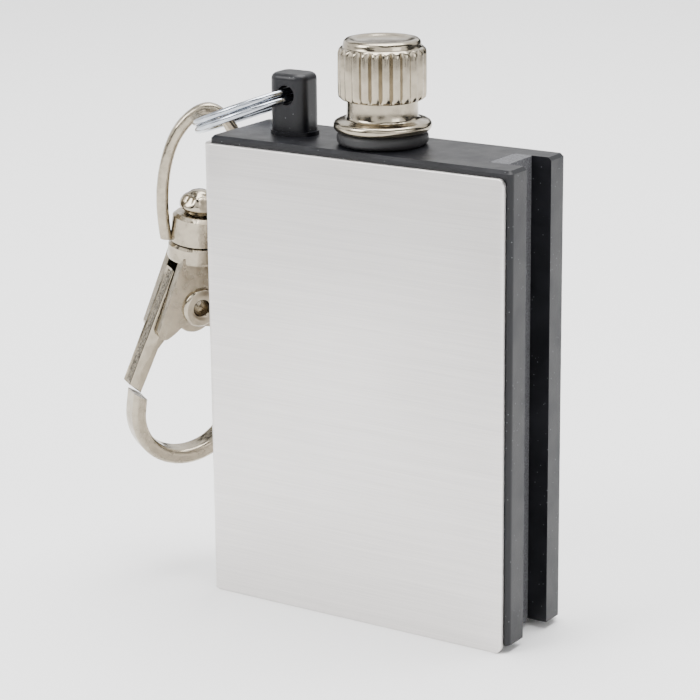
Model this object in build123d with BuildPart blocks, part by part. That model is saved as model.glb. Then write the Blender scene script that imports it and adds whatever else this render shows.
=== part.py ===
from build123d import *
from math import cos, sin, radians
import os

os.makedirs("parts", exist_ok=True)

# Keychain flint lighter: a fuel tank in a sheet-metal cover with a flint rod in its
# side, a screw-in metal match, and a swivel clasp on a split ring.
# Millimetres. X runs from the clasp (-) to the flint (+), Y from front (-) to back (+),
# Z up. The origin is the centre of the base.

# ---- driving dimensions ----------------------------------------------------------
cover_width = 33.1            # cover, along X
cover_depth = 11.0            # cover, along Y
cover_height = 45.0
sheet = 0.5                   # stainless sheet of the cover
bend_radius = 1.0             # outside radius of the cover's two bends
cover_corner = 0.7            # rounded free corners of the cover's two leaves

casing_gap = 0.05             # clearance between casing and cover
casing_bottom = 0.7           # the casing stops this far above the cover's lower edge
casing_top = 45.7
casing_right = 17.05          # the ribs stand this far right
casing_bevel = 0.6            # bevel round the casing's top edge
tank_wall = 1.35
roof_thickness = 2.0
base_thickness = 2.0

groove_width = 4.5            # striking groove in the casing's right side
groove_depth = 1.9            # to the face of the flint rod
rod_thickness = 2.0
rod_bottom = 0.4              # the rod shows a little below the casing
rod_fit = 0.02                # gap round the glued rod
rod_back_wall = 1.2           # casing wall behind the rod

lug_x = -9.5                  # post that carries the split ring
lug_width = 4.0
lug_depth = 3.3
lug_top = 51.6
lug_hole_x = -9.4
lug_hole_z = 49.6
lug_hole_diameter = 1.9

match_x = 0.4                 # axis of the neck and the match
thread_diameter = 5.0
thread_pitch = 0.8
thread_depth = 0.35
thread_clearance = 0.06       # radial, screw in bush
bush_diameter = 7.0
bush_bottom = 38.6
bush_flute_depth = 0.2
neck_boss_diameter = 9.4

ring_section = 1.5            # O-ring cord
seal_outer = 8.6
seal_top = 47.0               # squeezed between casing and flange
flange_diameter = 9.2
flange_top = 48.0
neck_diameter = 6.7
neck_top = 50.0
knurl_diameter = 8.3
knurl_top = 54.8
flute_count = 24
flute_radius = 0.42
button_diameter = 7.2
button_top = 55.6
button_dish = 0.25
screw_bottom = 40.6           # lower end of the screw under the flange
spud_diameter = 3.9           # spud of the cap inside the hollow screw
tube_diameter = 3.6
tube_bore = 2.9
tube_bottom = 9.0
tube_top = 44.2
tube_clearance = 0.05         # radial, tube in the screw
core_diameter = 1.0
wick_diameter = 2.5
wick_bottom = 5.0
tip_diameter = 2.2
tip_bottom = 3.4

split_wire = 0.66
split_radius = 5.5            # mean radius of the split ring
split_spacing = 0.70          # coil to coil
split_tilt = radians(21.5)    # the ring slopes down to the left
split_cross = 36.0            # degrees taken by the step between the two coils

clasp_lean = radians(8.67)    # the clasp leans away from the cover towards its foot
swivel_x, swivel_z = -21.58, 33.6    # middle of the swivel joint
bow_turn = radians(40.0)      # plane of the bow, turned from the X axis
gate_turn = radians(60.0)     # plane of the hook, gate side turned from -X towards -Y
# Heights along the clasp are measured up its own axis from the swivel joint.
bow_wire = 1.2
bow_half_width = 4.38         # outside
bow_apex = 14.25              # outside
boss_diameter = 5.1
boss_low, boss_high = 0.15, 3.0
shank_diameter = 2.0
swivel_clearance = 0.05
rivet_head_diameter = 4.0
rivet_head_low, rivet_head_top = 3.5, 5.4
rivet_neck_diameter = 3.0
collar_diameter = 5.4
collar_top, collar_bottom = -0.05, -1.7
body_thickness = 4.0
slot_width = 2.1
slot_left = -3.1              # the slot's closed side, towards the spine
slot_top = -1.75
hook_x, hook_centre = -0.7, -17.5    # centre of the hook's bend
hook_radius = 5.4             # to the middle of its section
hook_section_in = 1.5         # in the hook's plane
hook_section_out = 2.4        # across it
spine_top = -7.0
tip_height = -15.9            # middle of the tip's slanted face
pivot_x, pivot_y = -0.3, -6.2        # gate pivot in the hook's plane
pivot_shank = 2.4
pivot_clearance = 0.05
pivot_head = 3.9
pivot_head_height = 0.5
pivot_bore = 1.5
gate_width = 1.75             # across the hook's plane
hub_radius = 2.5              # round end of the gate between the cheeks
heel_radius = 2.0             # its lower lobe
heel_drop = 1.1               # lobe below the pivot
spring_wire = 0.3
spring_radius = 1.55
spring_turns = 2.0
spring_seat = 0.22            # first turn's height above the gate's middle plane

# ---- places worked out from them ---------------------------------------------------
cover_left = -cover_width / 2
cover_right = cover_width / 2
casing_left = cover_left + sheet + casing_gap
casing_half_depth = cover_depth / 2 - sheet - casing_gap
rod_face_x = casing_right - groove_depth
rod_back_x = rod_face_x - rod_thickness
tank_right = rod_back_x - rod_back_wall
tank_left = casing_left + tank_wall
tank_half_depth = casing_half_depth - tank_wall
tank_roof = casing_top - roof_thickness
tank_floor = casing_bottom + base_thickness
casing_mid_x = (casing_left + casing_right) / 2
tank_mid_x = (tank_left + tank_right) / 2
match_axis = Axis((match_x, 0, 0), (0, 0, 1))
match_plane = Plane(origin=(match_x, 0, 0), x_dir=(1, 0, 0), z_dir=(0, -1, 0))

ring_dir = Vector(-cos(split_tilt), 0, -sin(split_tilt))
ring_normal = Vector(-sin(split_tilt), 0, cos(split_tilt))
ring_centre = Vector(lug_hole_x, 0, lug_hole_z) + ring_dir * split_radius

clasp_up = Vector(sin(clasp_lean), 0, cos(clasp_lean))
swivel_point = Vector(swivel_x, 0, swivel_z)
clasp_axis = Axis(swivel_point, clasp_up)


def upright_plane(toward):
    """Plane through the clasp's axis: local y runs up the axis, local x leans to toward."""
    across = (toward - clasp_up * toward.dot(clasp_up)).normalized()
    return Plane(origin=swivel_point, x_dir=across, z_dir=across.cross(clasp_up))


bow_plane = upright_plane(Vector(cos(bow_turn), sin(bow_turn), 0))
hook_plane = upright_plane(Vector(-cos(gate_turn), -sin(gate_turn), 0))

# ---- tank casing ------------------------------------------------------------------
with BuildPart() as tank_casing:
    with BuildSketch(Plane.XY.offset(casing_bottom)):
        with Locations((casing_mid_x, 0)):
            RectangleRounded(casing_right - casing_left, 2 * casing_half_depth, 0.5)
    extrude(amount=casing_top - casing_bottom)
    chamfer(tank_casing.faces().sort_by(Axis.Z)[-1].edges(), casing_bevel / 2)
    # tank, open at the bottom until the base is welded in
    with BuildSketch(Plane.XY.offset(casing_bottom)):
        with Locations((tank_mid_x, 0)):
            RectangleRounded(tank_right - tank_left, 2 * tank_half_depth, 0.8)
    extrude(amount=tank_roof - casing_bottom, mode=Mode.SUBTRACT)
    # neck boss under the roof
    with BuildSketch(Plane.XY.offset(bush_bottom - 0.6)):
        with Locations((match_x, 0)):
            Circle(neck_boss_diameter / 2)
            Rectangle(neck_boss_diameter, 2 * casing_half_depth - 0.4, mode=Mode.INTERSECT)
    extrude(amount=tank_roof - bush_bottom + 0.6 + 0.5)
    with BuildSketch(Plane.XY.offset(bush_bottom - 1.0)):
        with Locations((match_x, 0)):
            Circle(bush_diameter / 2)
    extrude(amount=casing_top - bush_bottom + 2.0, mode=Mode.SUBTRACT)
    # striking groove and the pocket of the flint rod behind it
    with BuildSketch(Plane.XY.offset(casing_bottom - 1)):
        with Locations((casing_right, 0)):
            Rectangle(2 * groove_depth, groove_width)
        with Locations((rod_face_x - rod_thickness / 2, 0)):
            Rectangle(rod_thickness, groove_width)
    extrude(amount=casing_top - casing_bottom + 2, mode=Mode.SUBTRACT)
    # post for the split ring, on a slightly spread foot
    with BuildSketch(Plane.XY.offset(casing_top - 0.3)):
        with Locations((lug_x, 0)):
            Ellipse(lug_width / 2 + 0.45, lug_depth / 2 + 0.35)
    extrude(amount=0.7)
    with BuildSketch(Plane.XY.offset(casing_top - 0.3)):
        with Locations((lug_x, 0)):
            RectangleRounded(lug_width, lug_depth, 1.1)
    extrude(amount=lug_top - casing_top + 0.3)
    fillet(tank_casing.faces().sort_by(Axis.Z)[-1].edges(), 0.6)
    with BuildSketch(Plane.XZ.offset(-lug_depth)):
        with Locations((lug_hole_x, lug_hole_z)):
            Circle(lug_hole_diameter / 2)
    extrude(amount=2 * lug_depth, mode=Mode.SUBTRACT)
tank_casing.part.label = "tank_casing"

# ---- base plate welded into the casing ---------------------------------------------
with BuildPart() as base_plate:
    with BuildSketch(Plane.XY.offset(casing_bottom)):
        with Locations((tank_mid_x, 0)):
            RectangleRounded(tank_right - tank_left - 0.04, 2 * tank_half_depth - 0.04, 0.78)
    extrude(amount=base_thickness)
    chamfer(base_plate.faces().sort_by(Axis.Z)[0].edges(), 0.25)
base_plate.part.label = "base_plate"

# ---- stainless cover, one sheet bent round the front, left side and back -------------
with BuildPart() as cover_shell:
    with BuildSketch(Plane.XY):
        Rectangle(cover_width, cover_depth)
    extrude(amount=cover_height)
    fillet(cover_shell.edges().filter_by(Axis.Z).group_by(Axis.X)[0], bend_radius)
    with BuildSketch(Plane.XY):
        with Locations((sheet, 0)):
            RectangleRounded(cover_width, cover_depth - 2 * sheet, bend_radius - sheet)
        with Locations((cover_right, 0)):
            Rectangle(4, cover_depth - 2 * sheet)
    extrude(amount=cover_height, mode=Mode.SUBTRACT)
    fillet(cover_shell.edges().filter_by(Axis.Y).group_by(Axis.X)[-1], cover_corner)
cover_shell.part.label = "cover_shell"

# ---- flint rod: a bar glued in the floor of the groove --------------------------------
with BuildPart() as flint_rod:
    with BuildSketch(Plane.XY.offset(rod_bottom)):
        with Locations((rod_face_x - rod_thickness / 2, 0)):
            RectangleRounded(rod_thickness - 2 * rod_fit, groove_width - 2 * rod_fit, 0.25)
    extrude(amount=casing_top - rod_bottom)
    chamfer(flint_rod.faces().sort_by(Axis.Z)[0].edges(), 0.15)
flint_rod.part.label = "flint_rod"

# ---- threaded bush moulded into the neck ----------------------------------------------
with BuildPart() as neck_bush:
    with BuildSketch(Plane.XY.offset(bush_bottom)):
        with Locations((match_x, 0)):
            Circle(bush_diameter / 2 - rod_fit)
            Circle(thread_diameter / 2 + thread_clearance, mode=Mode.SUBTRACT)
    extrude(amount=casing_top - bush_bottom - rod_fit)
    # two grooves that key the bush into the plastic
    for groove_z in (40.4, 42.6):
        with BuildSketch(Plane.XY.offset(groove_z)):
            with Locations((match_x, 0)):
                Circle(bush_diameter / 2 + 1)
                Circle(bush_diameter / 2 - bush_flute_depth, mode=Mode.SUBTRACT)
        extrude(amount=0.7, mode=Mode.SUBTRACT)
neck_bush.part.label = "neck_bush"

# ---- fuel wadding -----------------------------------------------------------------
with BuildPart() as fuel_wadding:
    with BuildSketch(Plane.XY.offset(tank_floor + 0.2)):
        with Locations((tank_mid_x, 0)):
            RectangleRounded(tank_right - tank_left - 0.4, 2 * tank_half_depth - 0.4, 0.7)
        with Locations((match_x, 0)):
            Circle(tube_diameter / 2 + 0.4, mode=Mode.SUBTRACT)
    extrude(amount=bush_bottom - 1.2 - tank_floor - 0.2)
fuel_wadding.part.label = "fuel_wadding"

# ---- O-ring squeezed between casing and flange ---------------------------------------
with BuildPart() as o_ring:
    with BuildSketch(match_plane):
        with Locations((seal_outer / 2 - ring_section / 2, (casing_top + seal_top) / 2)):
            RectangleRounded(ring_section, seal_top - casing_top - 2 * rod_fit, 0.55)
    revolve(axis=match_axis)
o_ring.part.label = "o_ring"

# ---- tube that guides the wick, free to turn in the screw ------------------------------
with BuildPart() as stem_tube:
    with BuildSketch(Plane.XY.offset(tube_bottom)):
        with Locations((match_x, 0)):
            Circle(tube_diameter / 2)
            Circle(tube_bore / 2, mode=Mode.SUBTRACT)
    extrude(amount=tube_top - tube_bottom)
    chamfer(stem_tube.edges().group_by(Axis.Z)[0], 0.1)
stem_tube.part.label = "stem_tube"

# ---- knurled cap of the match -----------------------------------------------------------
with BuildPart() as match_cap:
    with BuildSketch(match_plane):
        with BuildLine():
            Polyline(
                (0, tube_top + 0.5), (spud_diameter / 2, tube_top + 0.5),
                (spud_diameter / 2, seal_top), (flange_diameter / 2, seal_top),
                (flange_diameter / 2, flange_top), (neck_diameter / 2, flange_top),
                (neck_diameter / 2, neck_top), (knurl_diameter / 2, neck_top),
                (knurl_diameter / 2, knurl_top), (button_diameter / 2, knurl_top),
                (button_diameter / 2, button_top), (0, button_top),
                (0, tube_top + 0.5),
            )
        make_face()
    revolve(axis=match_axis)
    flange_rims = match_cap.edges().filter_by(GeomType.CIRCLE).filter_by(
        lambda e: abs(e.radius - flange_diameter / 2) < 0.01)
    fillet(flange_rims, 0.4)
    knurl_rims = match_cap.edges().filter_by(GeomType.CIRCLE).filter_by(
        lambda e: abs(e.radius - knurl_diameter / 2) < 0.01)
    fillet(knurl_rims, 0.35)
    fillet(match_cap.edges().group_by(Axis.Z)[-1], 0.45)
    # rounded straight flutes
    with BuildSketch(Plane.XY.offset(neck_top - 0.2)):
        with Locations((match_x, 0)):
            with PolarLocations(knurl_diameter / 2 + 0.08, flute_count):
                Circle(flute_radius)
    extrude(amount=knurl_top - neck_top + 0.2, mode=Mode.SUBTRACT)
    # shallow dish in the top button
    with BuildSketch(Plane.XY.offset(button_top - button_dish)):
        with Locations((match_x, 0)):
            Circle(button_diameter / 2 - 1.0)
    extrude(amount=1, taper=-30, mode=Mode.SUBTRACT)
    # socket for the core wire
    with BuildSketch(Plane.XY.offset(tube_top)):
        with Locations((match_x, 0)):
            Circle(core_diameter / 2)
    extrude(amount=2.0, mode=Mode.SUBTRACT)
match_cap.part.label = "match_cap"

# ---- hollow screw pressed on the cap's spud -----------------------------------------------
thread_turns = int((seal_top - 1.4 - screw_bottom) / thread_pitch)
with BuildPart() as cap_screw:
    with BuildSketch(Plane.XY.offset(screw_bottom)):
        with Locations((match_x, 0)):
            Circle(thread_diameter / 2)
    extrude(amount=seal_top - screw_bottom)
    chamfer(cap_screw.edges().group_by(Axis.Z)[0], 0.3)
    for turn in range(thread_turns):
        root_z = screw_bottom + 0.7 + turn * thread_pitch
        with BuildSketch(match_plane):
            with BuildLine():
                Polyline(
                    (thread_diameter / 2 - thread_depth, root_z),
                    (thread_diameter / 2 + 0.1, root_z - thread_pitch / 2 + 0.05),
                    (thread_diameter / 2 + 0.1, root_z + thread_pitch / 2 - 0.05),
                    (thread_diameter / 2 - thread_depth, root_z),
                )
            make_face()
        revolve(axis=match_axis, mode=Mode.SUBTRACT)
    with BuildSketch(Plane.XY.offset(screw_bottom - 1)):
        with Locations((match_x, 0)):
            Circle(tube_diameter / 2 + tube_clearance)
    extrude(amount=tube_top + 0.5 - screw_bottom + 1, mode=Mode.SUBTRACT)
    with BuildSketch(Plane.XY.offset(tube_top)):
        with Locations((match_x, 0)):
            Circle(spud_diameter / 2)
    extrude(amount=seal_top - tube_top, mode=Mode.SUBTRACT)
cap_screw.part.label = "cap_screw"

# ---- core wire, wick and striking tip ---------------------------------------------------
with BuildPart() as core_wire:
    with BuildSketch(Plane.XY.offset(tip_bottom + 0.8)):
        with Locations((match_x, 0)):
            Circle(core_diameter / 2)
    extrude(amount=tube_top + 2.0 - tip_bottom - 0.8)
core_wire.part.label = "core_wire"

with BuildPart() as match_wick:
    with BuildSketch(Plane.XY.offset(wick_bottom + 0.6)):
        with Locations((match_x, 0)):
            Circle(wick_diameter / 2)
            Circle(core_diameter / 2 + 0.02, mode=Mode.SUBTRACT)
    extrude(amount=tube_top - wick_bottom - 0.6)
    fillet(match_wick.edges().group_by(Axis.Z)[0].sort_by(SortBy.RADIUS)[-1:], 0.4)
match_wick.part.label = "match_wick"

with BuildPart() as striker_tip:
    with BuildSketch(Plane.XY.offset(tip_bottom)):
        with Locations((match_x, 0)):
            Circle(tip_diameter / 2)
    extrude(amount=wick_bottom + 0.55 - tip_bottom)
    chamfer(striker_tip.edges().group_by(Axis.Z)[0], 0.3)
    with BuildSketch(Plane.XY.offset(tip_bottom + 0.8)):
        with Locations((match_x, 0)):
            Circle(core_diameter / 2)
    extrude(amount=3, mode=Mode.SUBTRACT)
striker_tip.part.label = "striker_tip"

# ---- split ring: two flat coils and the step between them ----------------------------------
# Angle 0 is at the step's end, turned to the back of the ring.
step_dir = Vector(0, 1, 0)
step_tan = ring_normal.cross(step_dir)


def on_ring(degrees, height):
    """Point on the ring's middle line, height being measured along the ring's axis."""
    a = radians(degrees)
    return (ring_centre + (step_dir * cos(a) + step_tan * sin(a)) * split_radius
            + ring_normal * height)


def ring_heading(degrees):
    a = radians(degrees)
    return step_tan * cos(a) - step_dir * sin(a)


coil_plane = Plane(origin=ring_centre, x_dir=step_dir, z_dir=step_dir.cross(ring_normal))
ring_axis = Axis(ring_centre, ring_normal)
with BuildPart() as split_ring:
    with BuildSketch(coil_plane):
        with Locations((split_radius, -split_spacing / 2), (split_radius, split_spacing / 2)):
            Circle(split_wire / 2)
    revolve(axis=ring_axis, revolution_arc=360 - split_cross)
    with BuildLine():
        Spline(
            on_ring(-split_cross, -split_spacing / 2), on_ring(-split_cross / 2, 0),
            on_ring(0, split_spacing / 2),
            tangents=(ring_heading(-split_cross), ring_heading(0)),
        )
    with BuildSketch(Plane(origin=on_ring(-split_cross, -split_spacing / 2),
                           z_dir=ring_heading(-split_cross))):
        Circle(split_wire / 2)
    sweep()
split_ring.part.label = "split_ring"

# ---- swivel eye: the bow and its boss -------------------------------------------------------
with BuildPart() as swivel_eye:
    with BuildSketch(bow_plane):
        with BuildLine():
            Spline((-3.55, boss_low), (-4.1, 2.6), (-bow_half_width, 5.6), (-4.08, 9.0),
                   (-2.75, 12.4), (0, bow_apex), (2.75, 12.4), (4.08, 9.0),
                   (bow_half_width, 5.6), (4.1, 2.6), (3.55, boss_low))
            Line((3.55, boss_low), (3.55 - bow_wire, boss_low))
            Spline((3.55 - bow_wire, boss_low), (4.1 - bow_wire, 2.6),
                   (bow_half_width - bow_wire, 5.6), (2.95, 8.75), (1.9, 11.5),
                   (0, bow_apex - bow_wire), (-1.9, 11.5), (-2.95, 8.75),
                   (bow_wire - bow_half_width, 5.6), (bow_wire - 4.1, 2.6),
                   (bow_wire - 3.55, boss_low))
            Line((bow_wire - 3.55, boss_low), (-3.55, boss_low))
        make_face()
    extrude(amount=bow_wire / 2, both=True)
    fillet(swivel_eye.edges().filter_by(GeomType.BSPLINE), 0.42)
    with BuildSketch(bow_plane):
        with BuildLine():
            Polyline((0, boss_low), (boss_diameter / 2, boss_low),
                     (boss_diameter / 2, boss_high - 0.35), (boss_diameter / 2 - 0.35, boss_high),
                     (0, boss_high), (0, boss_low))
        make_face()
    revolve(axis=clasp_axis)
    with BuildSketch(bow_plane):
        with Locations(((shank_diameter / 2 + swivel_clearance) / 2, boss_high / 2)):
            Rectangle(shank_diameter / 2 + swivel_clearance, 2 * boss_high)
    revolve(axis=clasp_axis, mode=Mode.SUBTRACT)
swivel_eye.part.label = "swivel_eye"

# ---- swivel rivet ------------------------------------------------------------------------------
with BuildPart() as swivel_rivet:
    with BuildSketch(hook_plane):
        with BuildLine():
            Polyline(
                (0, collar_bottom + 0.1), (shank_diameter / 2, collar_bottom + 0.1),
                (shank_diameter / 2, boss_high + 0.1), (rivet_neck_diameter / 2, boss_high + 0.1),
                (rivet_neck_diameter / 2, rivet_head_low), (rivet_head_diameter / 2, rivet_head_low),
                (rivet_head_diameter / 2, rivet_head_low + 0.9),
                (rivet_head_diameter / 2 - 0.7, rivet_head_top - 0.25),
                (0.6, rivet_head_top), (0, rivet_head_top), (0, collar_bottom + 0.1),
            )
        make_face()
    revolve(axis=clasp_axis)
swivel_rivet.part.label = "swivel_rivet"

# ---- hook body: collar, two cheeks, spine and hook -----------------------------------------------
tip_x = hook_x + hook_radius
outer_bend = hook_radius + hook_section_in / 2
inner_bend = hook_radius - hook_section_in / 2
with BuildPart() as hook_body:
    # spine and hook, ending in a slanted tip
    with BuildSketch(hook_plane):
        with BuildLine():
            Spline((-5.0, spine_top), (-5.95, -11.5), (hook_x - outer_bend, hook_centre),
                   tangents=((-0.12, -1), (0, -1)))
            CenterArc((hook_x, hook_centre), outer_bend, 180, 180)
            Line((hook_x + outer_bend, hook_centre), (hook_x + outer_bend, tip_height + 0.37))
            Line((hook_x + outer_bend, tip_height + 0.37),
                 (hook_x + inner_bend, tip_height - 0.37))
            Line((hook_x + inner_bend, tip_height - 0.37), (hook_x + inner_bend, hook_centre))
            CenterArc((hook_x, hook_centre), inner_bend, 0, -180)
            Spline((hook_x - inner_bend, hook_centre), (-4.4, -11.5), (-3.4, spine_top),
                   tangents=((0, 1), (0.12, 1)))
            Line((-3.4, spine_top), (-5.0, spine_top))
        make_face()
    extrude(amount=hook_section_out / 2, both=True)
    flat_edges = hook_body.edges().filter_by(
        lambda e: abs(abs(hook_plane.to_local_coords(e.center()).Z) - hook_section_out / 2) < 0.01)
    fillet(flat_edges.filter_by(lambda e: e.length > 1.9), 0.5)
    # collar
    with BuildSketch(hook_plane):
        with BuildLine():
            Polyline((0, collar_bottom), (collar_diameter / 2 - 0.1, collar_bottom),
                     (collar_diameter / 2, collar_bottom + 0.2),
                     (collar_diameter / 2, collar_top - 0.25),
                     (collar_diameter / 2 - 0.25, collar_top), (0, collar_top),
                     (0, collar_bottom))
        make_face()
    revolve(axis=clasp_axis)
    # cheeks: flared from the collar, with a rounded lobe at the gate's side
    with BuildSketch(hook_plane):
        with BuildLine():
            Polyline((1.0, -8.0), (-1.5, -8.3), (-3.0, -9.5), (-4.0, -9.9), (-4.6, -8.6),
                     (-4.5, -6.2), (-3.7, -3.6), (-2.3, collar_bottom + 0.6),
                     (2.0, collar_bottom + 0.6), (2.3, -2.2), (3.95, -8.7))
            RadiusArc((3.95, -8.7), (2.75, -9.35), 0.75)
            Spline((2.75, -9.35), (1.9, -8.65), (1.0, -8.0), tangents=((-0.75, 0.5), (-1, 0.2)))
        make_face()
    extrude(amount=body_thickness / 2, both=True)
    # slot for the gate
    with BuildSketch(hook_plane):
        with BuildLine():
            Polyline((slot_left, -9.2), (-2.2, -11.5), (6, -11.5), (6, slot_top),
                     (-1.9, slot_top), (slot_left, -3.4), (slot_left, -9.2))
        make_face()
    extrude(amount=slot_width / 2, both=True, mode=Mode.SUBTRACT)
    # bores for the swivel rivet and the pivot
    with BuildSketch(hook_plane):
        with Locations((shank_diameter / 4, collar_bottom + 1.1)):
            Rectangle(shank_diameter / 2, 2.0)
    revolve(axis=clasp_axis, mode=Mode.SUBTRACT)
    with BuildSketch(hook_plane):
        with Locations((pivot_x, pivot_y)):
            Circle(pivot_shank / 2)
    extrude(amount=body_thickness, both=True, mode=Mode.SUBTRACT)
hook_body.part.label = "hook_body"

# ---- pivot rivet of the gate: hollow, with two rolled heads ------------------------------------------
pivot_point = hook_plane.from_local_coords((pivot_x, pivot_y, 0))
pivot_plane = Plane(origin=pivot_point, x_dir=hook_plane.x_dir, z_dir=hook_plane.y_dir * -1)
pivot_axis = Axis(pivot_point, hook_plane.z_dir)
head_face = body_thickness / 2 + pivot_head_height
with BuildPart() as pivot_rivet:
    with BuildSketch(pivot_plane):
        with BuildLine():
            Polyline(
                (pivot_bore / 2, -head_face + 0.5), (pivot_bore / 2 + 0.35, -head_face),
                (pivot_head / 2 - 0.35, -head_face), (pivot_head / 2, -head_face + 0.3),
                (pivot_head / 2, -body_thickness / 2), (pivot_shank / 2, -body_thickness / 2),
                (pivot_shank / 2, body_thickness / 2), (pivot_head / 2, body_thickness / 2),
                (pivot_head / 2, head_face - 0.3), (pivot_head / 2 - 0.35, head_face),
                (pivot_bore / 2 + 0.35, head_face), (pivot_bore / 2, head_face - 0.5),
                (pivot_bore / 2, -head_face + 0.5),
            )
        make_face()
    revolve(axis=pivot_axis)
pivot_rivet.part.label = "pivot_rivet"

# ---- gate lever: a flat bar from the collar to the hook's tip, on a round hub ----------------------
with BuildPart() as gate_lever:
    with BuildSketch(hook_plane):
        with BuildLine():
            Polyline((2.55, -2.55), (6.05, -14.5), (4.72, -15.5), (3.2, -10.6), (1.2, -8.4),
                     (-1.0, -4.0), (1.05, -2.9), (2.55, -2.55))
        make_face()
        with Locations((pivot_x, pivot_y)):
            Circle(hub_radius)
        with Locations((pivot_x, pivot_y - heel_drop)):
            Circle(heel_radius)
    extrude(amount=gate_width / 2, both=True)
    with BuildSketch(hook_plane):
        with Locations((pivot_x, pivot_y)):
            Circle(pivot_shank / 2 + pivot_clearance)
    extrude(amount=gate_width, both=True, mode=Mode.SUBTRACT)
    # pocket for the spring
    with BuildSketch(hook_plane):
        with Locations((pivot_x, pivot_y)):
            Circle(spring_radius + spring_wire / 2 + 0.12)
    extrude(amount=gate_width, mode=Mode.SUBTRACT)
gate_lever.part.label = "gate_lever"

# ---- gate spring: a small torsion coil round the pivot, in the lever's pocket --------------------------
with BuildPart() as gate_spring:
    with BuildLine():
        coil_path = Helix(
            pitch=spring_wire + 0.04, height=spring_turns * (spring_wire + 0.04),
            radius=spring_radius, center=pivot_point + hook_plane.z_dir * spring_seat,
            direction=hook_plane.z_dir,
        )
    with BuildSketch(Plane(origin=coil_path @ 0, z_dir=coil_path % 0)):
        Circle(spring_wire / 2)
    sweep(path=coil_path, is_frenet=True)
gate_spring.part.label = "gate_spring"

# ---- files ------------------------------------------------------------------------
export_step(tank_casing.part, "parts/tank_casing.step")
export_step(base_plate.part, "parts/base_plate.step")
export_step(cover_shell.part, "parts/cover_shell.step")
export_step(flint_rod.part, "parts/flint_rod.step")
export_step(neck_bush.part, "parts/neck_bush.step")
export_step(fuel_wadding.part, "parts/fuel_wadding.step")
export_step(o_ring.part, "parts/o_ring.step")
export_step(stem_tube.part, "parts/stem_tube.step")
export_step(match_cap.part, "parts/match_cap.step")
export_step(cap_screw.part, "parts/cap_screw.step")
export_step(core_wire.part, "parts/core_wire.step")
export_step(match_wick.part, "parts/match_wick.step")
export_step(striker_tip.part, "parts/striker_tip.step")
export_step(split_ring.part, "parts/split_ring.step")
export_step(swivel_eye.part, "parts/swivel_eye.step")
export_step(swivel_rivet.part, "parts/swivel_rivet.step")
export_step(hook_body.part, "parts/hook_body.step")
export_step(pivot_rivet.part, "parts/pivot_rivet.step")
export_step(gate_lever.part, "parts/gate_lever.step")
export_step(gate_spring.part, "parts/gate_spring.step")
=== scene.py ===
import math

import bpy
from bpy.props import (
    FloatProperty,
    FloatVectorProperty,
    IntProperty,
    PointerProperty,
)
from mathutils import Matrix, Vector


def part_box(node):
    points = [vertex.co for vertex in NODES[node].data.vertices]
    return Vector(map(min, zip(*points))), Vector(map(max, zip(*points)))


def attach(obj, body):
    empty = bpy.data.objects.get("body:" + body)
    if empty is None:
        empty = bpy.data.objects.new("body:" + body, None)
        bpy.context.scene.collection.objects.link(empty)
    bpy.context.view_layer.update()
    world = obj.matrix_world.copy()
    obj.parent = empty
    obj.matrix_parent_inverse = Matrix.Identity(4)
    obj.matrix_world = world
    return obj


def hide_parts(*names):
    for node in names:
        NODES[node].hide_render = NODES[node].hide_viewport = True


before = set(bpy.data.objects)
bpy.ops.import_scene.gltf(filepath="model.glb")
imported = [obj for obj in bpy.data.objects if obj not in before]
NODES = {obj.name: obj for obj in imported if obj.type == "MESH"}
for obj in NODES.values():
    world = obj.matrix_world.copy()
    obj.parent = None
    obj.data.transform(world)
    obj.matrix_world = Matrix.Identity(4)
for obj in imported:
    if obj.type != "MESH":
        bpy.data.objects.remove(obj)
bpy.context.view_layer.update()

bl_info = {
    "name": "Flint spark lighter",
    "version": (1, 0, 0),
    "blender": (4, 5, 0),
    "location": "3D View > Sidebar > Lighter",
    "description": "Builds the looks of a keychain flint lighter round its packed parts",
    "category": "Object",
}

MM = 0.001
FLUSH = 1e-6                       # a length or gap in metres that counts as none
MIX_A, MIX_B, MIX_OUT = 6, 7, 2    # the colour sockets of a Mix node


# ---- sizes and colours a user would change -------------------------------------------
class LighterSizes(bpy.types.PropertyGroup):
    """Sizes of the modelled pieces"""

    bend_radius: FloatProperty(
        name="Bend radius", description="Outside radius of the cover's two bends",
        default=1.0 * MM, subtype="DISTANCE", unit="LENGTH")
    corner_radius: FloatProperty(
        name="Corner radius", description="Rounding of the cover's free corners",
        default=0.7 * MM, subtype="DISTANCE", unit="LENGTH")
    sheet: FloatProperty(
        name="Sheet", description="Thickness of the cover's sheet",
        default=0.5 * MM, subtype="DISTANCE", unit="LENGTH")
    flutes: IntProperty(
        name="Flutes", description="Number of flutes round the cap", default=24, min=8, max=40)
    flute_depth: FloatProperty(
        name="Flute depth", description="Depth of the cap's flutes",
        default=0.38 * MM, subtype="DISTANCE", unit="LENGTH")


class LighterColours(bpy.types.PropertyGroup):
    """Base colours of the finishes"""

    steel: FloatVectorProperty(
        name="Brushed steel", description="Colour of the cover", subtype="COLOR",
        size=3, min=0, max=1, default=(0.735, 0.712, 0.694))
    nickel: FloatVectorProperty(
        name="Nickel plate", description="Colour of the cap and the clasp", subtype="COLOR",
        size=3, min=0, max=1, default=(0.37, 0.325, 0.25))
    bright: FloatVectorProperty(
        name="Bright steel", description="Colour of the split ring", subtype="COLOR",
        size=3, min=0, max=1, default=(0.45, 0.48, 0.53))
    plastic: FloatVectorProperty(
        name="Plastic", description="Colour of the casing", subtype="COLOR",
        size=3, min=0, max=1, default=(0.005, 0.0052, 0.007))
    rod: FloatVectorProperty(
        name="Flint rod", description="Colour of the flint rod", subtype="COLOR",
        size=3, min=0, max=1, default=(0.085, 0.086, 0.092))


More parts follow.
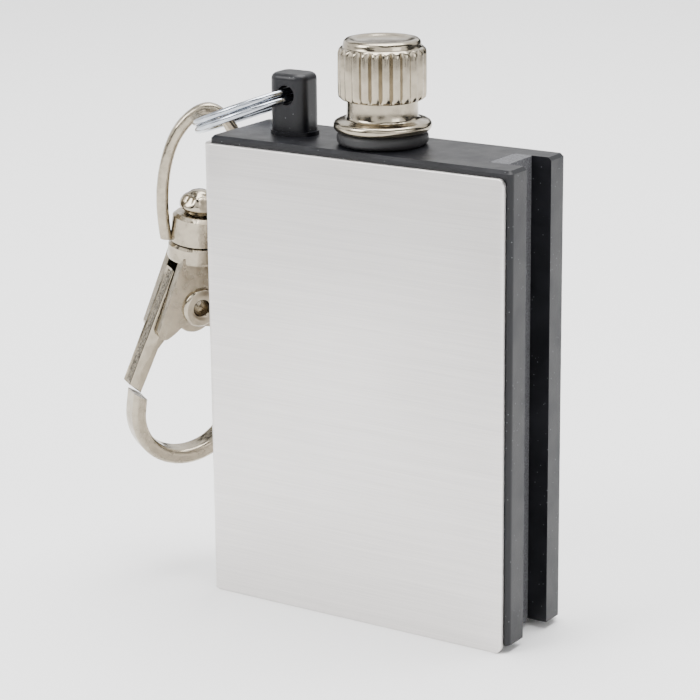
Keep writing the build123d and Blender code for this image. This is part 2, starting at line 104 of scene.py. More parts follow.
class LighterStage(bpy.types.PropertyGroup):
    """Camera and light"""

    azimuth: FloatProperty(
        name="Azimuth", description="Camera angle round the object",
        default=math.radians(33.36), subtype="ANGLE", unit="ROTATION")
    elevation: FloatProperty(
        name="Elevation", description="Camera angle above the horizon",
        default=math.radians(15.86), subtype="ANGLE", unit="ROTATION")
    roll: FloatProperty(
        name="Roll", description="Camera roll",
        default=math.radians(-0.59), subtype="ANGLE", unit="ROTATION")
    distance: FloatProperty(
        name="Distance", description="Camera distance from its target",
        default=253 * MM, subtype="DISTANCE", unit="LENGTH")
    lens: FloatProperty(
        name="Lens", description="Focal length in millimetres", default=135.85, min=10, max=400)
    target: FloatVectorProperty(
        name="Target", description="Point the camera looks at", subtype="TRANSLATION",
        unit="LENGTH", size=3, default=(-3.16 * MM, -0.5 * MM, 25.31 * MM))
    floor: FloatVectorProperty(
        name="Floor", description="Colour of the floor", subtype="COLOR",
        size=3, min=0, max=1, default=(0.96, 0.96, 0.96))


# ---- node helpers ----------------------------------------------------------------------
def material(name):
    """A new material with its node tree and its Principled shader."""
    mat = bpy.data.materials.new(name)
    mat.use_nodes = True
    return mat, mat.node_tree, mat.node_tree.nodes["Principled BSDF"]


def link(tree, a, b):
    """Joins output a to input b."""
    tree.links.new(a, b)


def coords(tree, scale):
    """Object coordinates in millimetres, stretched by scale."""
    tex = tree.nodes.new("ShaderNodeTexCoord")
    mapping = tree.nodes.new("ShaderNodeMapping")
    mapping.inputs["Scale"].default_value = [s / MM for s in scale]
    link(tree, tex.outputs["Object"], mapping.inputs["Vector"])
    return mapping.outputs["Vector"]


def noise(tree, vector, scale=1.0, detail=3.0, rough=0.55):
    """Noise texture along vector."""
    n = tree.nodes.new("ShaderNodeTexNoise")
    n.inputs["Scale"].default_value = scale
    n.inputs["Detail"].default_value = detail
    n.inputs["Roughness"].default_value = rough
    link(tree, vector, n.inputs["Vector"])
    return n.outputs["Fac"]


def voronoi(tree, vector, scale=1.0):
    """Distance to the nearest of scattered points."""
    n = tree.nodes.new("ShaderNodeTexVoronoi")
    n.inputs["Scale"].default_value = scale
    link(tree, vector, n.inputs["Vector"])
    return n.outputs["Distance"]


def spread(tree, value, low, high, to_low, to_high):
    """Maps low..high to to_low..to_high, and holds it there."""
    m = tree.nodes.new("ShaderNodeMapRange")
    m.inputs["From Min"].default_value = low
    m.inputs["From Max"].default_value = high
    m.inputs["To Min"].default_value = to_low
    m.inputs["To Max"].default_value = to_high
    link(tree, value, m.inputs["Value"])
    return m.outputs["Result"]


def mixed(tree, factor, a, b):
    """A colour between a and b."""
    m = tree.nodes.new("ShaderNodeMix")
    m.data_type = "RGBA"
    m.inputs[MIX_A].default_value = (*a, 1)
    m.inputs[MIX_B].default_value = (*b, 1)
    link(tree, factor, m.inputs[0])
    return m.outputs[MIX_OUT]


def bump(tree, shader, height, strength, distance, before=None):
    """Adds relief to a shader, over the relief in before."""
    b = tree.nodes.new("ShaderNodeBump")
    b.inputs["Strength"].default_value = strength
    b.inputs["Distance"].default_value = distance
    link(tree, height, b.inputs["Height"])
    if before is not None:
        link(tree, before, b.inputs["Normal"])
    link(tree, b.outputs["Normal"], shader.inputs["Normal"])
    return b.outputs["Normal"]


def times(colour, k):
    """A colour made lighter or darker."""
    return tuple(min(1.0, c * k) for c in colour)


def paint(obj, *mats):
    """Gives obj its materials and keeps which face has which."""
    which = [f.material_index for f in obj.data.polygons]
    obj.data.materials.clear()
    for m in mats:
        obj.data.materials.append(m)
    for f, i in zip(obj.data.polygons, which):
        f.material_index = min(i, len(mats) - 1)


# ---- finishes ----------------------------------------------------------------------------
def brushed_steel(name, colour):
    """Sheet with fine level streaks."""
    mat, tree, sh = material(name)
    fine = noise(tree, coords(tree, (0.10, 0.10, 11.0)), scale=1.0, detail=5.0, rough=0.7)
    broad = noise(tree, coords(tree, (0.03, 0.03, 1.6)), scale=1.0, detail=3.0, rough=0.5)
    haze = noise(tree, coords(tree, (0.06, 0.06, 0.05)), scale=1.0, detail=2.0, rough=0.5)
    share = 0.35    # how much the broad streaks count for
    both = tree.nodes.new("ShaderNodeMath")
    both.operation = "MULTIPLY_ADD"
    both.inputs[1].default_value = share
    link(tree, broad, both.inputs[0])
    link(tree, fine, both.inputs[2])
    link(tree, mixed(tree, spread(tree, both.outputs[0], 0.45, 0.85, 0, 1),
                     times(colour, 0.9), times(colour, 1.06)), sh.inputs["Base Color"])
    link(tree, spread(tree, haze, 0.3, 0.7, 0.34, 0.46), sh.inputs["Roughness"])
    sh.inputs["Metallic"].default_value = 1.0
    bump(tree, sh, fine, strength=0.10, distance=0.02 * MM)
    return mat


def moulded_plastic(name, colour):
    """Satin moulding with a fine grain and specks of dust."""
    mat, tree, sh = material(name)
    space = coords(tree, (1, 1, 1))
    grain = noise(tree, space, scale=5.0, detail=4.0, rough=0.6)
    flow = noise(tree, space, scale=0.35, detail=2.0, rough=0.5)
    dust = voronoi(tree, space, scale=1.7)
    sh.inputs["Specular IOR Level"].default_value = 0.32
    body = tree.nodes.new("ShaderNodeMix")
    body.data_type = "RGBA"
    body.inputs[MIX_B].default_value = (0.30, 0.31, 0.33, 1)
    link(tree, mixed(tree, spread(tree, flow, 0.35, 0.7, 0, 1),
                     times(colour, 0.8), times(colour, 1.5)), body.inputs[MIX_A])
    link(tree, spread(tree, dust, 0.10, 0.05, 0, 0.45), body.inputs[0])
    link(tree, body.outputs[MIX_OUT], sh.inputs["Base Color"])
    link(tree, spread(tree, flow, 0.3, 0.7, 0.30, 0.46), sh.inputs["Roughness"])
    bump(tree, sh, grain, strength=0.22, distance=0.05 * MM)
    return mat


def flint(name, colour):
    """Rough grey flint or hardened steel."""
    mat, tree, sh = material(name)
    space = coords(tree, (1, 1, 1))
    coarse = noise(tree, space, scale=1.6, detail=4.0, rough=0.65)
    fine = noise(tree, space, scale=7.0, detail=4.0, rough=0.7)
    link(tree, mixed(tree, spread(tree, fine, 0.35, 0.68, 0, 1),
                     times(colour, 0.45), times(colour, 2.1)), sh.inputs["Base Color"])
    sh.inputs["Metallic"].default_value = 0.55
    link(tree, spread(tree, coarse, 0.3, 0.7, 0.45, 0.72), sh.inputs["Roughness"])
    first = bump(tree, sh, coarse, strength=0.5, distance=0.12 * MM)
    bump(tree, sh, fine, strength=0.5, distance=0.06 * MM, before=first)
    return mat


def plated(name, colour, rough=(0.12, 0.26), cast=0.25, scratch=0.08):
    """Bright plate over a slightly wavy casting or turning."""
    mat, tree, sh = material(name)
    space = coords(tree, (1, 1, 1))
    wave = noise(tree, space, scale=0.55, detail=2.0, rough=0.5)
    haze = noise(tree, space, scale=1.1, detail=3.0, rough=0.5)
    tiny = noise(tree, space, scale=9.0, detail=3.0, rough=0.6)
    link(tree, mixed(tree, spread(tree, haze, 0.36, 0.62, 0, 1),
                     times(colour, 0.88), times(colour, 1.05)), sh.inputs["Base Color"])
    link(tree, spread(tree, haze, 0.35, 0.65, rough[1], rough[0]), sh.inputs["Roughness"])
    sh.inputs["Metallic"].default_value = 1.0
    first = bump(tree, sh, wave, strength=cast, distance=0.25 * MM)
    bump(tree, sh, tiny, strength=scratch, distance=0.02 * MM, before=first)
    return mat


def pitted(name, colour):
    """Plate over a rough, pitted casting."""
    mat, tree, sh = material(name)
    space = coords(tree, (1, 1, 1))
    pits = voronoi(tree, space, scale=2.6)
    crumbs = noise(tree, space, scale=4.5, detail=5.0, rough=0.7)
    link(tree, mixed(tree, spread(tree, crumbs, 0.40, 0.62, 0, 1),
                     times(colour, 0.12), times(colour, 0.9)), sh.inputs["Base Color"])
    link(tree, spread(tree, crumbs, 0.35, 0.65, 0.55, 0.22), sh.inputs["Roughness"])
    sh.inputs["Metallic"].default_value = 1.0
    first = bump(tree, sh, pits, strength=0.6, distance=0.15 * MM)
    bump(tree, sh, crumbs, strength=0.9, distance=0.14 * MM, before=first)
    return mat


def turned(name, colour, rough=0.24):
    """Lathe-turned metal with rings round the vertical axis."""
    mat, tree, sh = material(name)
    rings = noise(tree, coords(tree, (0.05, 0.05, 7.0)), scale=1.0, detail=3.0, rough=0.6)
    stain = noise(tree, coords(tree, (1, 1, 1)), scale=0.9, detail=4.0, rough=0.6)
    link(tree, mixed(tree, spread(tree, stain, 0.35, 0.65, 0, 1),
                     times(colour, 0.75), times(colour, 1.05)), sh.inputs["Base Color"])
    link(tree, spread(tree, rings, 0.3, 0.7, rough, rough + 0.14), sh.inputs["Roughness"])
    sh.inputs["Metallic"].default_value = 1.0
    bump(tree, sh, rings, strength=0.2, distance=0.03 * MM)
    return mat


def rubber(name, colour):
    """Matt rubber with a fine grain."""
    mat, tree, sh = material(name)
    space = coords(tree, (1, 1, 1))
    grain = noise(tree, space, scale=6.0, detail=4.0, rough=0.6)
    link(tree, mixed(tree, grain, times(colour, 0.7), times(colour, 1.6)),
         sh.inputs["Base Color"])
    link(tree, spread(tree, grain, 0.3, 0.7, 0.5, 0.68), sh.inputs["Roughness"])
    bump(tree, sh, grain, strength=0.25, distance=0.03 * MM)
    return mat


def fibre(name, colour, along):
    """Loose or braided fibre, its strands stretched by along."""
    mat, tree, sh = material(name)
    strands = noise(tree, coords(tree, along), scale=1.0, detail=5.0, rough=0.7)
    tuft = noise(tree, coords(tree, (1, 1, 1)), scale=0.8, detail=4.0, rough=0.6)
    link(tree, mixed(tree, spread(tree, strands, 0.3, 0.7, 0, 1),
                     times(colour, 0.72), times(colour, 1.08)), sh.inputs["Base Color"])
    link(tree, spread(tree, tuft, 0.3, 0.7, 0.8, 0.98), sh.inputs["Roughness"])
    sh.inputs["Sheen Weight"].default_value = 0.3
    first = bump(tree, sh, tuft, strength=0.6, distance=0.35 * MM)
    bump(tree, sh, strands, strength=0.7, distance=0.12 * MM, before=first)
    return mat


# ---- modelling helpers -----------------------------------------------------------------------
def clear_selection():
    """Leaves edit mode and deselects everything."""
    if bpy.context.mode != "OBJECT":
        bpy.ops.object.mode_set(mode="OBJECT")
    bpy.ops.object.select_all(action="DESELECT")


def edit(obj):
    """Opens obj in edit mode."""
    bpy.context.view_layer.objects.active = obj
    bpy.ops.object.mode_set(mode="EDIT")


def pick(obj, kind, test):
    """Selects the vertices, edges or faces of obj for which test is true; returns how many."""
    bpy.ops.mesh.select_all(action="DESELECT")
    bpy.ops.mesh.select_mode(type=kind)
    bpy.ops.object.mode_set(mode="OBJECT")
    me = obj.data
    items = {"VERT": me.vertices, "EDGE": me.edges, "FACE": me.polygons}[kind]
    count = 0
    for item in items:
        item.select = bool(test(item))
        count += item.select
    bpy.ops.object.mode_set(mode="EDIT")
    if not count:
        raise RuntimeError(f"nothing to shape on {obj.name}")
    return count


def modifier(obj, kind, **values):
    """Adds a modifier and applies it."""
    m = obj.modifiers.new(kind.lower(), kind)
    for k, v in values.items():
        setattr(m, k, v)
    bpy.context.view_layer.objects.active = obj
    obj.select_set(True)
    bpy.ops.object.modifier_apply(modifier=m.name)


def finish_piece(obj, body, nodes, angle=35, mats=()):
    """Makes the normals point outwards, smooths, and hands the piece to the frame."""
    edit(obj)
    bpy.ops.mesh.select_mode(type="FACE")
    bpy.ops.mesh.select_all(action="SELECT")
    bpy.ops.mesh.normals_make_consistent(inside=False)
    bpy.ops.object.mode_set(mode="OBJECT")
    bpy.ops.object.select_all(action="DESELECT")
    obj.select_set(True)
    bpy.context.view_layer.objects.active = obj
    bpy.ops.object.shade_smooth_by_angle(angle=math.radians(angle))
    if mats:
        paint(obj, *mats)
    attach(obj, body)
    if nodes:
        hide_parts(*nodes)
    obj.select_set(False)
    return obj


def lathe(name, profile, axis, segments):
    """A solid of revolution: a ring drawn up and scaled from one profile point to the next."""
    clear_selection()
    (r0, z0) = profile[0]
    bpy.ops.mesh.primitive_circle_add(
        vertices=segments, radius=r0, fill_type="NGON", enter_editmode=True)
    obj = bpy.context.object
    obj.name = name
    bpy.ops.transform.translate(value=(axis[0], axis[1], z0))
    r, z = r0, z0
    for r1, z1 in profile[1:]:
        bpy.ops.mesh.extrude_region_move(
            TRANSFORM_OT_translate={"value": (0, 0, z1 - z)})
        bpy.ops.transform.resize(value=(r1 / r, r1 / r, 1), center_override=(axis[0], axis[1], z1))
        r, z = r1, z1
    return obj


def outline(name, points, depth):
    """A flat blank: an n-gon whose corners are moved to points, drawn out evenly to depth."""
    clear_selection()
    bpy.ops.mesh.primitive_circle_add(
        vertices=len(points), radius=MM, fill_type="NGON", enter_editmode=True)
    obj = bpy.context.object
    obj.name = name
    bpy.ops.mesh.select_mode(type="VERT")
    bpy.ops.object.mode_set(mode="OBJECT")
    steps = [Vector((x * MM, y * MM, -depth / 2)) - v.co
             for (x, y), v in zip(points, obj.data.vertices)]
    bpy.ops.object.mode_set(mode="EDIT")
    for i, step in enumerate(steps):
        pick(obj, "VERT", lambda v, i=i: v.index == i)
        bpy.ops.transform.translate(value=step)
    bpy.ops.mesh.select_all(action="SELECT")
    bpy.ops.mesh.extrude_region_move(TRANSFORM_OT_translate={"value": (0, 0, depth)})
    bpy.ops.mesh.select_all(action="SELECT")
    bpy.ops.mesh.normals_make_consistent(inside=False)
    return obj


def arc(centre, radius, start, end, count):
    """Points on an arc, angles in degrees."""
    turn = [math.radians(start + (end - start) * i / (count - 1)) for i in range(count)]
    return [(centre[0] + radius * math.cos(t), centre[1] + radius * math.sin(t)) for t in turn]


def place(obj, origin, x, y):
    """Moves a piece drawn at the origin to its place, and applies the move."""
    z = x.cross(y)
    clear_selection()
    obj.matrix_world = Matrix((
        (x.x, y.x, z.x, origin.x), (x.y, y.y, z.y, origin.y),
        (x.z, y.z, z.z, origin.z), (0, 0, 0, 1)))
    obj.select_set(True)
    bpy.context.view_layer.objects.active = obj
    bpy.ops.object.transform_apply(location=True, rotation=True, scale=True)


def cut(obj, cutter):
    """Takes cutter away from obj and deletes it."""
    clear_selection()
    modifier(obj, "BOOLEAN", operation="DIFFERENCE", solver="EXACT", object=cutter)
    clear_selection()
    cutter.select_set(True)
    bpy.ops.object.delete()


# The clasp's own axes: up along its swivel, across towards the gate.
LEAN = math.radians(8.67)          # how far the hanging clasp leans from upright
GATE_TURN = math.radians(60)       # how far the gate is turned from -X towards -Y
CLASP_UP = Vector((math.sin(LEAN), 0, math.cos(LEAN)))
TO_GATE = Vector((-math.cos(GATE_TURN), -math.sin(GATE_TURN), 0))
TO_GATE = (TO_GATE - CLASP_UP * TO_GATE.dot(CLASP_UP)).normalized()
SWIVEL = Vector((-21.58, 0, 33.6)) * MM     # the swivel joint, under the bow
PIVOT = (-0.3, -6.2)               # gate's pivot from the swivel joint, mm


# ---- pieces ----------------------------------------------------------------------------------
class LIGHTER_OT_casing(bpy.types.Operator):
    """Finish the moulded casing and its base"""

    bl_idname = "lighter.casing"
    bl_label = "Casing"

    def execute(self, context):
        look = moulded_plastic("black_plastic", context.scene.lighter_colours.plastic)
        for n in ("tank_casing", "base_plate"):
            paint(NODES[n], look)
        return {"FINISHED"}


class LIGHTER_OT_flint(bpy.types.Operator):
    """Finish the flint rod"""

    bl_idname = "lighter.flint"
    bl_label = "Flint rod"

    def execute(self, context):
        paint(NODES["flint_rod"], flint("ferro_rod", context.scene.lighter_colours.rod))
        return {"FINISHED"}


class LIGHTER_OT_cover(bpy.types.Operator):
    """Bend the brushed cover round the casing"""

    bl_idname = "lighter.cover"
    bl_label = "Cover"

    def execute(self, context):
        s = context.scene.lighter_sizes
        facets = 8             # steps of each rounded bend and corner
        cut_edge = 0.07 * MM   # rounding of the sheet's cut edges
        lo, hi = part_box("cover_shell")
        clear_selection()
        bpy.ops.mesh.primitive_cube_add(size=1, enter_editmode=True)
        obj = bpy.context.object
        obj.name = "cover"
        size, mid = hi - lo, (hi + lo) / 2
        bpy.ops.transform.resize(value=size, center_override=(0, 0, 0))
        bpy.ops.transform.translate(value=mid)
        pick(obj, "FACE", lambda f: f.normal.x > 0.9 or abs(f.normal.z) > 0.9)
        bpy.ops.mesh.delete(type="FACE")

        def at(edge, axis):
            return [obj.data.vertices[v].co[axis] for v in edge.vertices]

        pick(obj, "EDGE", lambda e: max(at(e, 0)) < lo.x + FLUSH
             and abs(at(e, 1)[0] - at(e, 1)[1]) < FLUSH)
        bpy.ops.mesh.bevel(offset=s.bend_radius, segments=facets, affect="EDGES")
        pick(obj, "VERT", lambda v: v.co.x > hi.x - FLUSH)
        bpy.ops.mesh.bevel(offset=s.corner_radius, segments=facets, affect="VERTICES")
        bpy.ops.object.mode_set(mode="OBJECT")
        modifier(obj, "SOLIDIFY", thickness=s.sheet, offset=-1)
        modifier(obj, "BEVEL", width=cut_edge, segments=3, limit_method="ANGLE",
                 angle_limit=math.radians(50))
        look = brushed_steel("stainless", context.scene.lighter_colours.steel)
        finish_piece(obj, "casing", ["cover_shell"], angle=30, mats=(look,))
        return {"FINISHED"}


class LIGHTER_OT_cap(bpy.types.Operator):
    """Turn and flute the cap of the match"""

    bl_idname = "lighter.cap"
    bl_label = "Cap"

    def execute(self, context):
        s = context.scene.lighter_sizes
        lo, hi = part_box("match_cap")
        axis = ((lo.x + hi.x) / 2, (lo.y + hi.y) / 2)
        top = hi.z
        per = 8                # points round each flute
        head = 4.14            # radius of the fluted head, mm
        inner = 4.0            # points further out than this are on its side, mm
        foot, brow = 5.5, 0.95     # the flutes' ends below the top, mm
        # radius and height from the top, mm: spud, flange, neck, fluted head, button, dish
        profile = [
            (1.2, -10.9), (1.9, -10.8), (1.94, -10.6), (1.94, -8.7), (4.1, -8.62), (4.42, -8.5),
            (4.57, -8.3), (4.6, -8.1), (4.57, -7.9), (4.45, -7.72), (4.2, -7.6), (3.75, -7.55),
            (3.45, -7.45), (3.33, -7.2), (3.32, -6.4), (3.33, -5.75), (3.55, -5.6), (3.85, -5.58),
            (4.08, -5.4), (4.14, -5.1), (4.15, -3.2), (4.14, -1.35), (4.08, -1.05), (3.9, -0.85),
            (3.72, -0.8), (3.64, -0.7), (3.62, -0.45), (3.54, -0.2), (3.36, -0.05), (3.12, 0.0),
            (2.85, -0.03), (2.6, -0.14), (2.35, -0.24), (1.6, -0.30), (0.8, -0.31), (0.25, -0.31),
        ]
        obj = lathe("cap", [(r * MM, top + z * MM) for r, z in profile], axis, s.flutes * per)
        for i in range(per):
            depth = s.flute_depth * (1 - abs(math.sin(math.pi * i / per))) ** 1.1
            if depth < FLUSH:
                continue
            step = 2 * math.pi / (s.flutes * per)

            def on_ridge(v, i=i, step=step):
                d = v.co.xy - Vector(axis)
                k = round(math.atan2(d.y, d.x) / step)
                return (k % per == i and d.length > inner * MM
                        and top - foot * MM < v.co.z < top - brow * MM)

            pick(obj, "VERT", on_ridge)
            k = 1 - depth / (head * MM)
            bpy.ops.transform.resize(value=(k, k, 1), center_override=(*axis, 0))
        look = plated("nickel_turned", context.scene.lighter_colours.nickel,
                      rough=(0.13, 0.24), cast=0.12)
        finish_piece(obj, "match", ["match_cap"], angle=50, mats=(look,))
        return {"FINISHED"}


class LIGHTER_OT_core(bpy.types.Operator):
    """Finish the parts of the match and the neck that the tank hides"""

    bl_idname = "lighter.core"
    bl_label = "Match core"

    def execute(self, context):
        brass = turned("brass", (0.70, 0.54, 0.26))
        steel = turned("match_steel", (0.50, 0.50, 0.51), rough=0.3)
        for n in ("neck_bush", "cap_screw"):
            paint(NODES[n], brass)
        for n in ("stem_tube", "core_wire", "gate_spring"):
            paint(NODES[n], steel)
        paint(NODES["striker_tip"], flint("tip_steel", (0.2, 0.2, 0.2)))
        paint(NODES["o_ring"], rubber("rubber", (0.014, 0.014, 0.015)))
        paint(NODES["match_wick"], fibre("wick", (0.78, 0.74, 0.64), (3, 3, 0.9)))
        paint(NODES["fuel_wadding"], fibre("cotton", (0.86, 0.83, 0.76), (2.2, 2.2, 1.2)))
        return {"FINISHED"}


class LIGHTER_OT_rings(bpy.types.Operator):
    """Finish the split ring and the clasp's eye"""

    bl_idname = "lighter.rings"
    bl_label = "Rings"

    def execute(self, context):
        c = context.scene.lighter_colours
        paint(NODES["split_ring"], plated("steel_ring", c.bright,
                                          rough=(0.1, 0.2), cast=0.08, scratch=0.1))
        look = plated("nickel_cast", c.nickel, rough=(0.14, 0.3), cast=0.45)
        for n in ("swivel_eye", "hook_body"):
            paint(NODES[n], look)
        return {"FINISHED"}


class LIGHTER_OT_gate(bpy.types.Operator):
    """Shape the gate lever with its rough outer face"""

    bl_idname = "lighter.gate"
    bl_label = "Gate"

    def execute(self, context):
        width = 1.75 * MM          # thickness of the lever
        lobe, drop = 2.0, 1.1      # radius of the lower lobe and its step below the pivot, mm
        hub = 2.5                  # radius round the pivot, mm
        edge = 0.16 * MM           # rounding of the long edges
        rim, sunk = 0.26 * MM, 0.14 * MM    # width and depth of the rim round the rough face
        bore, pocket = 1.25 * MM, 1.82 * MM     # holes for the rivet and for the spring
        depth = 4 * MM             # long enough to cut right through
        # bar from the collar to the hook's tip, then the lobe and the hub round the pivot
        corners = [(2.55, -2.55), (3.35, -5.25), (4.6, -9.5), (6.05, -14.5), (4.72, -15.5),
                   (4.0, -13.2), (3.3, -10.9)]
        corners += arc((PIVOT[0], PIVOT[1] - drop), lobe, -30, -168, 14)
        corners += arc(PIVOT, hub, 188, 70, 14)
        obj = outline("gate", corners, width)
        # the edges of the two flat sides
        pick(obj, "EDGE", lambda e: abs(sum(obj.data.vertices[v].co.z for v in e.vertices))
             > 1.9 * width / 2)
        bpy.ops.mesh.bevel(offset=edge, segments=3, affect="EDGES")
        # square to the bar's long outer side
        along = Vector(corners[3]) - Vector(corners[0])
        out = Vector((-along.y, along.x, 0)).normalized()
        pick(obj, "FACE", lambda f: f.normal.dot(out) > 0.99)
        bpy.ops.mesh.inset(thickness=rim, use_boundary=True)
        bpy.ops.transform.translate(value=-sunk * out)
        bpy.ops.object.mode_set(mode="OBJECT")
        c = context.scene.lighter_colours
        paint(obj, plated("nickel_gate", c.nickel, rough=(0.14, 0.26), cast=0.35),
              pitted("nickel_pitted", c.nickel))
        for f in obj.data.polygons:
            f.material_index = int(f.select)
        bpy.ops.mesh.primitive_cylinder_add(
            vertices=48, radius=bore, depth=depth,
            location=(PIVOT[0] * MM, PIVOT[1] * MM, 0))
        cut(obj, bpy.context.object)
        bpy.ops.mesh.primitive_cylinder_add(
            vertices=48, radius=pocket, depth=width,
            location=(PIVOT[0] * MM, PIVOT[1] * MM, width / 2))
        cut(obj, bpy.context.object)
        place(obj, SWIVEL, TO_GATE, CLASP_UP)
        finish_piece(obj, "gate", ["gate_lever"], angle=40)
        return {"FINISHED"}


class LIGHTER_OT_rivets(bpy.types.Operator):
    """Upset the swivel rivet and roll the pivot rivet"""

    bl_idname = "lighter.rivets"
    bl_label = "Rivets"

    def execute(self, context):
        c = context.scene.lighter_colours
        look = plated("nickel_rivet", c.nickel, rough=(0.1, 0.22), cast=0.6)
        # radius and height from the swivel joint, mm: shank, collar, domed head
        profile = [(0.5, -1.6), (1.0, -1.58), (1.0, 3.0), (1.0, 3.1), (1.45, 3.12), (1.5, 3.2),
                   (1.5, 3.45), (1.55, 3.5), (1.85, 3.52), (1.97, 3.65), (2.0, 3.95),
                   (1.93, 4.35), (1.7, 4.75), (1.42, 4.98), (1.2, 5.05), (0.95, 5.22),
                   (0.6, 5.36), (0.2, 5.4)]
        rivet = lathe("rivet", [(r * MM, z * MM) for r, z in profile], (0, 0), 48)
        # dents of the tool that upset the head: how much of the radius each one leaves
        dents = (0.86, 0.93, 0.84, 0.92, 0.87)
        low, high = 4.2 * MM, 5.1 * MM    # the band of the head that they are in
        first, reach = 0.4, 0.93    # turn of the first, and cosine of each one's half width
        for k, deep in enumerate(dents):
            turn = k * 2 * math.pi / len(dents) + first
            side = Vector((math.cos(turn), math.sin(turn)))
            pick(rivet, "VERT", lambda v, side=side: low < v.co.z < high
                 and v.co.xy.normalized().dot(side) > reach)
            bpy.ops.transform.resize(value=(deep, deep, 1), center_override=(0, 0, 0))
        bpy.ops.object.mode_set(mode="OBJECT")
        place(rivet, SWIVEL, TO_GATE, CLASP_UP.cross(TO_GATE))
        finish_piece(rivet, "hook", ["swivel_rivet"], angle=60, mats=(look,))

        # one half of the hollow rivet, mm: bore, rolled rim, shank
        half = [(0.78, 1.0), (0.78, 2.1), (0.86, 2.32), (1.0, 2.44), (1.3, 2.5), (1.6, 2.49),
                (1.8, 2.42), (1.92, 2.28), (1.95, 2.15), (1.95, 2.0), (1.2, 2.0)]
        profile = half + [(r, -z) for r, z in reversed(half)]
        clear_selection()
        bpy.ops.mesh.primitive_circle_add(
            vertices=64, radius=half[0][0] * MM, enter_editmode=True)
        bpy.ops.mesh.select_mode(type="EDGE")
        bpy.ops.mesh.select_all(action="SELECT")
        ring = bpy.context.object
        ring.name = "pivot"
        bpy.ops.transform.translate(value=(0, 0, half[0][1] * MM))
        r, z = half[0]
        for r1, z1 in profile[1:] + profile[:1]:
            bpy.ops.mesh.extrude_region_move(
                TRANSFORM_OT_translate={"value": (0, 0, (z1 - z) * MM)})
            bpy.ops.transform.resize(value=(r1 / r, r1 / r, 1), center_override=(0, 0, z1 * MM))
            r, z = r1, z1
        bpy.ops.mesh.select_all(action="SELECT")
        bpy.ops.mesh.remove_doubles(threshold=FLUSH)
        bpy.ops.object.mode_set(mode="OBJECT")
        at = SWIVEL + (TO_GATE * PIVOT[0] + CLASP_UP * PIVOT[1]) * MM
        place(ring, at, TO_GATE, CLASP_UP)
        finish_piece(ring, "hook", ["pivot_rivet"], angle=60, mats=(look,))
        return {"FINISHED"}


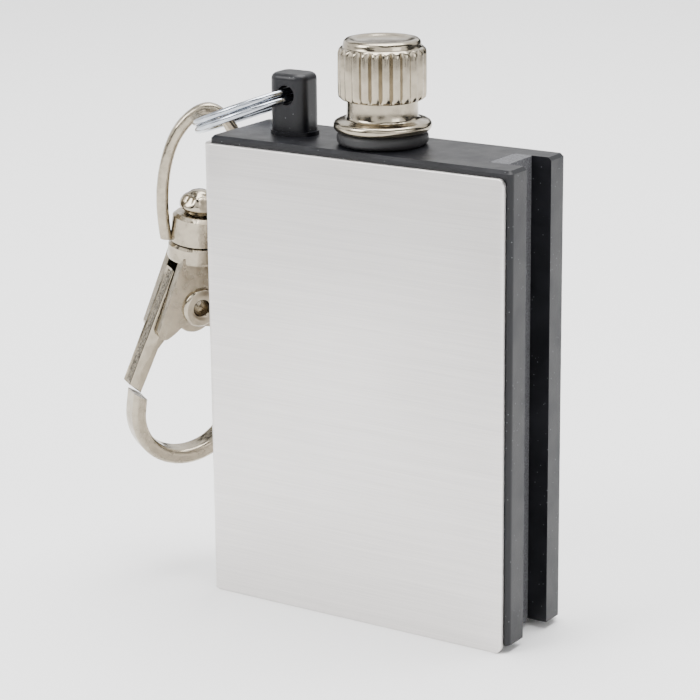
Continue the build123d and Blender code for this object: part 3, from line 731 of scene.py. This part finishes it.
# ---- stage ----------------------------------------------------------------------------------
class LIGHTER_OT_stage(bpy.types.Operator):
    """Set the floor, the studio lights and the camera"""

    bl_idname = "lighter.stage"
    bl_label = "Stage"

    def execute(self, context):
        s = context.scene.lighter_stage
        clear_selection()
        across, below = 3, 0.02 * MM    # the floor's side in metres, and its gap under the object
        bpy.ops.mesh.primitive_plane_add(size=across, location=(0, 0, -below))
        floor = bpy.context.object
        floor.name = "floor"
        mat, tree, sh = material("floor")
        haze = noise(tree, coords(tree, (0.01, 0.01, 0.01)), scale=1.0, detail=2.0, rough=0.5)
        link(tree, mixed(tree, haze, times(s.floor, 0.995), s.floor), sh.inputs["Base Color"])
        sh.inputs["Roughness"].default_value = 0.7
        sh.inputs["Specular IOR Level"].default_value = 0.2
        paint(floor, mat)
        look_at = Vector((0, 0, 0.025))
        # name, place in metres, size in metres, power in watts
        lights = (
            ("key", (-0.30, -0.42, 0.42), 0.30, 3.1),
            ("side", (0.50, -0.12, 0.22), 0.22, 0.6),
            ("top", (0.02, 0.10, 0.60), 0.50, 7.4),
        )
        for name, spot, size, power in lights:
            bpy.ops.object.light_add(type="AREA", location=spot)
            lamp = bpy.context.object
            lamp.name = name
            lamp.data.size = size
            lamp.data.energy = power
            lamp.rotation_euler = (
                (look_at - Vector(spot)).to_track_quat("-Z", "Y").to_euler())
        world = context.scene.world or bpy.data.worlds.new("world")
        context.scene.world = world
        world.use_nodes = True
        tree = world.node_tree
        sky = tree.nodes["Background"]
        sky.inputs["Color"].default_value = (1, 1, 1, 1)
        # broad bright and dark cards, as a studio has, for the metal to mirror
        way = tree.nodes.new("ShaderNodeTexCoord")
        cards = noise(tree, way.outputs["Generated"], scale=2.1, detail=0.0, rough=0.5)
        link(tree, spread(tree, cards, 0.45, 0.55, 0.02, 1.75), sky.inputs["Strength"])
        bpy.ops.object.camera_add()
        cam = bpy.context.object
        cam.name = "camera"
        a, e = s.azimuth, s.elevation
        back = Vector((math.sin(a) * math.cos(e), -math.cos(a) * math.cos(e), math.sin(e)))
        right = Vector((math.cos(a), math.sin(a), 0))
        up = back.cross(right)
        r = right * math.cos(s.roll) + up * math.sin(s.roll)
        u = up * math.cos(s.roll) - right * math.sin(s.roll)
        eye = Vector(s.target) + back * s.distance
        cam.matrix_world = Matrix((
            (r.x, u.x, back.x, eye.x), (r.y, u.y, back.y, eye.y),
            (r.z, u.z, back.z, eye.z), (0, 0, 0, 1)))
        cam.data.sensor_width = 36
        cam.data.lens = s.lens
        cam.data.clip_start = 0.01
        cam.data.clip_end = 10
        context.scene.camera = cam
        return {"FINISHED"}


class LIGHTER_PT_panel(bpy.types.Panel):
    """Lists the build steps"""

    bl_idname = "LIGHTER_PT_panel"
    bl_label = "Flint lighter"
    bl_space_type = "VIEW_3D"
    bl_region_type = "UI"
    bl_category = "Lighter"

    def draw(self, context):
        for step in STEPS:
            self.layout.operator(step.bl_idname)


STEPS = (
    LIGHTER_OT_casing,
    LIGHTER_OT_flint,
    LIGHTER_OT_cover,
    LIGHTER_OT_cap,
    LIGHTER_OT_core,
    LIGHTER_OT_rings,
    LIGHTER_OT_gate,
    LIGHTER_OT_rivets,
    LIGHTER_OT_stage,
)
GROUPS = (LighterSizes, LighterColours, LighterStage)
CLASSES = GROUPS + STEPS + (LIGHTER_PT_panel,)


def register():
    """Registers the classes and their settings."""
    for c in CLASSES:
        bpy.utils.register_class(c)
    bpy.types.Scene.lighter_sizes = PointerProperty(type=LighterSizes)
    bpy.types.Scene.lighter_colours = PointerProperty(type=LighterColours)
    bpy.types.Scene.lighter_stage = PointerProperty(type=LighterStage)


def unregister():
    """Undoes register."""
    del bpy.types.Scene.lighter_stage
    del bpy.types.Scene.lighter_colours
    del bpy.types.Scene.lighter_sizes
    for c in reversed(CLASSES):
        bpy.utils.unregister_class(c)


def main():
    register()
    bpy.ops.lighter.casing()
    bpy.ops.lighter.flint()
    bpy.ops.lighter.cover()
    bpy.ops.lighter.cap()
    bpy.ops.lighter.core()
    bpy.ops.lighter.rings()
    bpy.ops.lighter.gate()
    bpy.ops.lighter.rivets()
    bpy.ops.lighter.stage()
    clear_selection()


if __name__ == "__main__":
    main()
